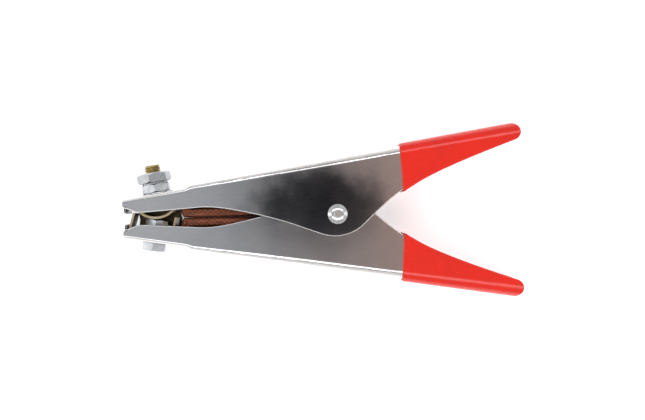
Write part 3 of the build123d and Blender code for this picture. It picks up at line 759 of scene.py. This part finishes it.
def split_washer(node, arm, like, name, body, slot, material):
    """A spring lock washer: a bar wound once, with its two ends a little apart and out of line."""
    place, height = screw_stand(node, arm, like)
    inner, outer = ring_of(node, place)
    lift = SPLIT_LIFT * height
    wind = 2 * pi - SPLIT_GAP
    bpy.ops.object.select_all(action="DESELECT")
    bpy.ops.mesh.primitive_plane_add(size=1, location=(0, 0, 0), rotation=(pi / 2, 0, 0))
    piece = bpy.context.object
    piece.name = name
    bpy.ops.object.transform_apply(location=True, rotation=True, scale=True)
    bar = Matrix.Diagonal((outer - inner, 1, height - lift, 1))
    piece.data.transform(Matrix.Translation(((inner + outer) / 2, 0, (height - lift) / 2)) @ bar)
    start_edit(piece)
    bpy.ops.mesh.spin(steps=60, angle=wind, center=(0, 0, 0), axis=(0, 0, 1), dupli=False)
    end_edit(1e-7)
    for vertex in piece.data.vertices:
        angle = atan2(vertex.co.y, vertex.co.x) % (2 * pi)
        vertex.co.z += lift * min(angle, wind) / wind
    piece.data.transform(Matrix.Rotation(LOCK_TURN, 4, "Z"))
    soften(piece, SPLIT_EDGE, segments=2)
    return declare(placed(piece, place), body, slot, material, node)


stud_place, stud_height = stand("terminal_stud", UPPER)
zinc = turned_metal("bright zinc of the terminal", stud_place, ZINC, BLUE_ZINC, 0.27)
stud_plate = turned_metal("yellow plated stud", stud_place, YELLOW_PLATE, BROWN_PLATE, 0.36)
for node, name in (("terminal_base_nut", "base_hex_nut"), ("terminal_clamp_nut", "clamp_hex_nut")):
    place, height = screw_stand(node, UPPER, "terminal_stud")
    corner, turn = corner_of(node, place)
    nut = hexagon(name, place, height, corner, turn, bore=ring_of(node, place)[0])
    declare(nut, "upper_jaw", "zinc_steel", zinc, node)
on_stud = ("upper_jaw", "zinc_steel", zinc)
flat_washer("terminal_base_washer", UPPER, "terminal_stud", "base_flat_washer", *on_stud)
split_washer("terminal_lock_washer", UPPER, "terminal_stud", "terminal_split_washer", *on_stud)

STUD_PITCH = 1.25 * MM
STUD_RADIUS = stud_mount["dims"]["r_mm"] * MM
STUD_POINT = 0.8 * MM
SHANK_RADIUS = 3.55 * MM
HEAD_THICK = 2.8 * MM
HEAD_ROUND = 0.5 * MM
HEAD_BREAK = 0.3 * MM
THREAD_SHOWN = 6.2 * MM  # the thread is drawn from inside the clamp nut to the stud's end
thread_foot = stud_height - THREAD_SHOWN
thread = threaded("stud_thread", STUD_RADIUS, STUD_PITCH, thread_foot, stud_height, STUD_POINT)
smooth_by(placed(thread, stud_place), 35)
declare(thread, "upper_jaw", "brass", stud_plate, "terminal_stud")
stud_head = ring_of("terminal_stud", stud_place)[1]
shank_outline = [
    (stud_head - HEAD_ROUND, 0),
    (stud_head - 0.24 * HEAD_ROUND, 0.28 * HEAD_ROUND),
    (stud_head, HEAD_ROUND),
    (stud_head, HEAD_THICK - HEAD_BREAK),
    (stud_head - HEAD_BREAK, HEAD_THICK),
    (SHANK_RADIUS, HEAD_THICK),
    (SHANK_RADIUS, thread_foot + 0.2 * MM),
]
shank = placed(turned("stud_head_and_shank", shank_outline, 64), stud_place)
smooth_by(shank, 35)
declare(shank, "upper_jaw", "brass", stud_plate, "terminal_stud")

bolt_place, bolt_height = stand("lower_bolt", LOWER)
bolt_zinc = turned_metal("bright zinc of the jaw bolt", bolt_place, ZINC, BLUE_ZINC, 0.3)
bolt_end_face = [p for p in in_frame("lower_bolt", bolt_place) if p.z < 1e-6]
bolt_radius = min(reach(p) for p in bolt_end_face if reach(p) > MM)
BOLT_HEAD = 4.0 * MM
BOLT_PITCH = 1.0 * MM
head_foot = bolt_height - BOLT_HEAD
head_place = bolt_place @ Matrix.Translation((0, 0, head_foot))
head = hexagon("bolt_head", head_place, BOLT_HEAD, *corner_of("lower_bolt", bolt_place), head=True)
declare(head, "lower_jaw", "zinc_steel", bolt_zinc, "lower_bolt")
bolt_end = threaded("bolt_thread", bolt_radius, BOLT_PITCH, 0, head_foot, 0.0)
smooth_by(placed(bolt_end, bolt_place), 35)
declare(bolt_end, "lower_jaw", "zinc_steel", bolt_zinc, "lower_bolt")
place, height = screw_stand("lower_nut", LOWER, "lower_bolt")
nut = hexagon("jaw_hex_nut", place, height, *corner_of("lower_nut", place), bore=bolt_radius)
on_bolt = ("lower_jaw", "zinc_steel", bolt_zinc)
declare(nut, *on_bolt, "lower_nut")
flat_washer("lower_bolt_washer", LOWER, "lower_bolt", "bolt_flat_washer", *on_bolt)
split_washer("lower_lock_washer", LOWER, "lower_bolt", "bolt_split_washer", *on_bolt)

# ---- contacts and the strap's pressed ends ------------------------------------------------------
for side, jaw in (("upper", "upper_jaw"), ("lower", "lower_jaw")):
    contact = copy_of(f"{side}_contact", f"{side}_brass_contact")
    soften(contact, 0.2 * MM, segments=2)
    declare(contact, jaw, "brass", brass, f"{side}_contact")
    end = copy_of(f"{side}_strap_end", f"{side}_pressed_strap_end")
    soften(end, 0.35 * MM, segments=3)
    declare(end, jaw, "copper", flat_copper, f"{side}_strap_end")

# ---- bonding strap: a flat copper braid from jaw to jaw -----------------------------------------
STRAP_THICK = 5.0 * MM
STRAP_WIDE = 15.0 * MM
PRESSED_THICK = 2.5 * MM
TAPER = 3.4 * MM  # length over which the braid thickens out of its pressed end
STRAP_CORNER = 1.7 * MM
ROOT_U = -76.0 * MM  # where the braid leaves its pressed end, along the arm
ROOT_V = 22.05 * MM
SHOULDER = 3.1 * MM
KNEE = Vector((-73.2, 2.51)) * MM
PARTING = Vector((-34.0, 2.51)) * MM
LOOP = Vector((-21.0, 8.0)) * MM
LOOP_FRONT = Vector((-13.1, 8.0)) * MM
SHOULDER_RADIUS = 3.4 * MM
KNEE_RADIUS = 2.8 * MM
PARTING_RADIUS = 8.0 * MM
LOOP_RADIUS = 4.6 * MM
BUNCHING = 0.92  # how far the braid fills the outside of its knee, towards a square corner
BRAID_CELL = 1.25 * MM  # size of one crossing of the strands
BRAID_RELIEF = 0.2 * MM
BRAID_STEP = 0.32 * MM
RING = 128  # points round the braid
CELLS_ROUND = 32  # strands' crossings round the braid, a whole even number
STRAND_CURVE = 2.05  # how steeply a strand's side falls to its edge
STRAND_LEVEL, STRAND_SWING = 0.62, 0.38  # a strand's mean height, and its rise and dip over and under


def bend(before, corner_point, after, radius):
    """Middle of a rounded corner, and the way from it to the bend's first and last point."""
    a = (before - corner_point).normalized()
    b = (after - corner_point).normalized()
    half = a.angle(b) / 2
    centre = corner_point + (a + b).normalized() * radius / sin(half)
    return centre, *(corner_point + run * radius / tan(half) - centre for run in (a, b))


def rounded(points, radii, step):
    """A line through points with its corners rounded, as points a step apart."""
    line = [points[0]]
    for before, corner_point, after, radius in zip(points, points[1:], points[2:], radii):
        centre, first, last = bend(before, corner_point, after, radius)
        sweep = first.angle_signed(last)
        count = max(2, round(abs(sweep) * radius / step))
        for i in range(count + 1):
            line.append(centre + Matrix.Rotation(-sweep * i / count, 2) @ first)
    line.append(points[-1])
    even, kept = [line[0]], 0.0
    for a, b in zip(line, line[1:]):
        length = (b - a).length
        if length < 1e-9:
            continue
        along = step - kept
        while along <= length:
            even.append(a + (b - a) * along / length)
            along += step
        kept = length - (along - step)
    return even


def upper_route():
    """The strap's middle line, from its pressed end to the loop's middle, in the clamp's side view."""
    turn = Matrix.Rotation(SLOPE, 2)
    root = turn @ Vector((ROOT_U, ROOT_V))
    shoulder = turn @ Vector((ROOT_U + SHOULDER, ROOT_V))
    return [root, shoulder, KNEE, PARTING, LOOP, LOOP_FRONT, Vector((LOOP_FRONT.x, 0))]


def bunched(spot):
    """Moves a point outside the knee's bend towards a square corner, where the braid bunches up."""
    side = 1 if spot.y > 0 else -1
    centre, before, after = knee_bend
    before, after = before.normalized(), after.normalized()
    out = Vector((spot.x, spot.y * side)) - centre
    reach = out.length
    if reach <= KNEE_RADIUS or out.angle(before) + out.angle(after) > before.angle(after) + 1e-4:
        return spot
    square = reach / max(out.dot(before), out.dot(after))
    depth = min(1.0, (reach - KNEE_RADIUS) / (STRAP_THICK / 2))
    grown = centre + out * (1 + (square - 1) * depth * BUNCHING)
    return Vector((grown.x, grown.y * side))


def section(thick):
    """The braid's outline across its length, with the distance round it: (out, across, round) points."""
    half_out, half_wide = thick / 2, STRAP_WIDE / 2
    corner = min(STRAP_CORNER, half_out * 0.98)
    wide, deep = half_wide - corner, half_out - corner
    runs = [2 * wide, pi / 2 * corner, 2 * deep, pi / 2 * corner] * 2
    total = sum(runs)
    points = []
    for i in range(RING):
        at = total * i / RING
        leg = 0
        while at > runs[leg]:
            at -= runs[leg]
            leg += 1
        quarter = leg // 2
        base = Matrix.Rotation(quarter * pi / 2, 2)
        size = (deep, wide) if quarter % 2 else (wide, deep)
        if leg % 2 == 0:
            spot = Vector((-size[0] + at, -size[1] - corner))
            normal = Vector((0, -1))
        else:
            angle = at / corner
            normal = Vector((sin(angle), -cos(angle)))
            spot = Vector((size[0], -size[1])) + normal * corner
        spot, normal = base @ spot, base @ normal
        points.append((spot, normal, i / RING))
    return points


def strand(across, crossing, swing):
    """Height of a strand at a place across itself, as it rises over and dips under the others."""
    level = STRAND_LEVEL + swing * cos(2 * pi * crossing)
    return sqrt(max(0.0, 1 - (STRAND_CURVE * across) ** 2)) * level


def lie(around, along):
    """Height of the outer strand from 0 to 1, and the place across it, at a place on the braid."""
    a = around * CELLS_ROUND / 2 + along / (2 * BRAID_CELL)
    b = around * CELLS_ROUND / 2 - along / (2 * BRAID_CELL)
    across_a = a - floor(a) - 0.5
    across_b = b - floor(b) - 0.5
    swing = STRAND_SWING if (floor(a) + floor(b)) % 2 else -STRAND_SWING
    high_a = strand(across_a, across_b, swing)
    high_b = strand(across_b, across_a, -swing)
    return (high_a, across_a) if high_a > high_b else (high_b, across_b)


def braided(name, line, first, last, thin_start=False, thin_end=False):
    """A stretch of braid along points first to last of a line, capped at both ends."""
    count = last - first + 1
    bpy.ops.object.select_all(action="DESELECT")
    bpy.ops.mesh.primitive_grid_add(x_subdivisions=RING, y_subdivisions=count - 1, size=1)
    piece = bpy.context.object
    piece.name = name
    mesh = piece.data
    outlines = {}
    heights = [0.0] * len(mesh.vertices)
    crosses = [0.0] * len(mesh.vertices)
    for index, vertex in enumerate(mesh.vertices):
        ring = round((vertex.co.x + 0.5) * RING) % RING
        row = round((vertex.co.y + 0.5) * (count - 1))
        at = first + row
        here = line[at]
        ahead = (line[min(at + 1, len(line) - 1)] - line[max(at - 1, 0)]).normalized()
        out = Vector((ahead.y, -ahead.x))
        from_end = min(row if thin_start else count, count - 1 - row if thin_end else count)
        grown = PRESSED_THICK + (STRAP_THICK - PRESSED_THICK) * from_end * BRAID_STEP / TAPER
        thick = min(STRAP_THICK, grown)
        key = round(thick * 1e6)
        if key not in outlines:
            outlines[key] = section(thick)
        spot, normal, around = outlines[key][ring]
        high, cross = lie(around, at * BRAID_STEP)
        inset = BRAID_RELIEF * (high - 1)
        spot = spot + normal * inset
        middle = bunched(here + out * spot.y)
        vertex.co = PIVOT + Vector((middle.x, middle.y, spot.x))
        heights[index] = high
        crosses[index] = cross
    attribute = mesh.attributes.new("lie", "FLOAT", "POINT")
    attribute.data.foreach_set("value", heights)
    layer = mesh.uv_layers.new(name="strands")
    mesh.uv_layers.active = layer
    for loop in mesh.loops:
        layer.data[loop.index].uv = (crosses[loop.vertex_index] + 0.5, heights[loop.vertex_index])
    start_edit(piece)
    bpy.ops.mesh.remove_doubles(threshold=1e-7)
    bpy.ops.mesh.select_all(action="DESELECT")
    bpy.ops.mesh.select_mode(type="EDGE")
    bpy.ops.mesh.select_non_manifold(extend=False)
    bpy.ops.mesh.fill()
    bpy.ops.mesh.select_mode(type="VERT")
    end_edit()
    only(piece)
    bpy.ops.object.shade_smooth()
    return piece


knee_bend = bend(*upper_route()[1:4], KNEE_RADIUS)
radii = [SHOULDER_RADIUS, KNEE_RADIUS, PARTING_RADIUS, LOOP_RADIUS, LOOP_RADIUS]
half_line = rounded(upper_route(), radii, BRAID_STEP)
strap_line = half_line + [Vector((p.x, -p.y)) for p in reversed(half_line[:-1])]
split = next(i for i, p in enumerate(half_line) if p.x > LOOP.x)
rear = len(strap_line) - 1 - split
upper_leg = braided("upper_braid_leg", strap_line, 0, split, thin_start=True)
declare(upper_leg, "upper_jaw", "copper", braid, "bond_strap")
lower_leg = braided("lower_braid_leg", strap_line, rear, len(strap_line) - 1, thin_end=True)
declare(lower_leg, "lower_jaw", "copper", braid, "bond_strap")
loop = braided("rear_braid_loop", strap_line, split, rear)
declare(loop, None, "copper", braid, "bond_strap")
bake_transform(loop)

# ---- floor, camera and lights -------------------------------------------------------------------
FLOOR_SIZE = 6
FLOOR_GLOW = 0.5  # the paper lies on a light table
PAPER, PALE_PAPER = rgb(0.90, 0.90, 0.90), rgb(0.92, 0.92, 0.92)
bpy.ops.object.select_all(action="DESELECT")
bpy.ops.mesh.primitive_plane_add(size=FLOOR_SIZE, location=(0, 0, 0))
floor_sheet = bpy.context.object
floor_sheet.name = "studio_floor"
paper = Finish("pale paper floor")
grain = paper.noise(paper.place, 400, detail=2)
tone = paper.mix(paper.between(grain, 0.3, 0.7), PAPER, PALE_PAPER)
glow = {"Emission_Color": rgb(1, 1, 1), "Emission_Strength": FLOOR_GLOW}
floor_sheet.data.materials.append(paper.shade(Base_Color=tone, Roughness=0.85, **glow))

CAMERA_HEIGHT = 0.65
FRAME_WIDTH = 0.3096  # what the camera takes in across the clamp's near plate
SENSOR = 36.0
AIM = Vector((0.17, 2.1, 29.8)) * MM
ROLL = radians(-1.4)
camera_data = bpy.data.cameras.new("studio camera")
camera_data.sensor_width = SENSOR
camera_data.lens = SENSOR * CAMERA_HEIGHT / FRAME_WIDTH
camera_data.clip_end = 20
camera = bpy.data.objects.new("studio camera", camera_data)
bpy.context.collection.objects.link(camera)
camera.location = AIM + UP * CAMERA_HEIGHT
camera.rotation_euler = (0, 0, ROLL)
bpy.context.scene.camera = camera
bpy.context.scene.view_settings.view_transform = "Standard"


def softbox(name, place, size, radiance):
    """A flat studio light of this radiance, facing the clamp."""
    light = bpy.data.lights.new(name, "AREA")
    light.shape = "RECTANGLE"
    light.size, light.size_y = size
    light.energy = radiance * pi * size[0] * size[1]
    lamp = bpy.data.objects.new(name, light)
    bpy.context.collection.objects.link(lamp)
    lamp.location = place
    lamp.rotation_euler = (Vector(place) - PIVOT).to_track_quat("Z", "Y").to_euler()


softbox("back strip light", (0, 0.56, 0.98), (1.9, 0.24), 3.4)
softbox("front strip light", (0, -0.56, 0.98), (1.9, 0.36), 3.2)
softbox("jaw end softbox", (-1.1, 0, 0.5), (0.5, 0.8), 1.2)
softbox("handle end softbox", (1.1, 0, 0.5), (0.5, 0.8), 0.9)


# The room round the clamp: colours along a stretch, as (place from 0 to 1, colour).
CEILING = [
    (0.0, (0.80, 0.81, 0.83)),
    (0.3, (0.60, 0.61, 0.63)),
    (0.62, (0.46, 0.43, 0.43)),
    (0.85, (0.60, 0.45, 0.41)),
    (1.0, (0.62, 0.50, 0.455)),
]
PATCH = [(0.0, (0.08, 0.085, 0.1)), (0.4, (0.12, 0.125, 0.14)), (1.0, (1, 1, 1))]
PATCH_CENTRE = (-0.010, 0.006, 1.0)
PATCH_SHAPE = (15, 22, 0)
WALLS = [(0.0, (0.62, 0.62, 0.62)), (0.5, (0.5, 0.51, 0.53)), (0.95, (0.4, 0.4, 0.42))]
LID = [(0.0, (0, 0, 0)), (1.0, (1, 1, 1))]  # where the ceiling takes over from the walls


def studio_surround():
    """Pale walls, and a dim ceiling with a dark patch in its middle, which warms towards the handles."""
    world = bpy.data.worlds.new("studio room")
    world.use_nodes = True
    bpy.context.scene.world = world
    tree = world.node_tree
    sky = tree.nodes["Background"]
    add = tree.nodes.new
    link = tree.links.new
    towards = add("ShaderNodeTexCoord").outputs["Generated"]
    at = add("ShaderNodeSeparateXYZ")
    link(towards, at.inputs[0])

    def ramp(value, low, high, stops):
        spread = add("ShaderNodeMapRange")
        spread.inputs["From Min"].default_value = low
        spread.inputs["From Max"].default_value = high
        link(value, spread.inputs["Value"])
        colours = add("ShaderNodeValToRGB")
        colours.color_ramp.interpolation = "EASE"
        while len(colours.color_ramp.elements) < len(stops):
            colours.color_ramp.elements.new(0.5)
        for element, (position, colour) in zip(colours.color_ramp.elements, stops):
            element.position = position
            element.color = (*colour, 1)
        link(spread.outputs[0], colours.inputs[0])
        return colours.outputs[0]

    def mix(share, a, b, how="MIX"):
        node = add("ShaderNodeMix")
        node.data_type = "RGBA"
        node.blend_type = how
        for value, socket in ((share, node.inputs[0]), (a, node.inputs[6]), (b, node.inputs[7])):
            if isinstance(value, bpy.types.NodeSocket):
                link(value, socket)
            else:
                socket.default_value = value
        return node.outputs[2]

    ceiling = ramp(at.outputs["X"], -0.16, 0.12, CEILING)
    centre = add("ShaderNodeVectorMath")
    centre.operation = "SUBTRACT"
    link(towards, centre.inputs[0])
    centre.inputs[1].default_value = PATCH_CENTRE
    shape = add("ShaderNodeVectorMath")
    shape.operation = "MULTIPLY"
    link(centre.outputs[0], shape.inputs[0])
    shape.inputs[1].default_value = PATCH_SHAPE
    length = add("ShaderNodeVectorMath")
    length.operation = "LENGTH"
    link(shape.outputs[0], length.inputs[0])
    patch = ramp(length.outputs["Value"], 0.0, 1.0, PATCH)
    lid = mix(1.0, ceiling, patch, "MULTIPLY")
    walls = ramp(at.outputs["Z"], 0.0, 1.0, WALLS)
    share = ramp(at.outputs["Z"], 0.95, 0.985, LID)
    link(mix(share, walls, lid), sky.inputs["Color"])
    sky.inputs["Strength"].default_value = 1.0


studio_surround()
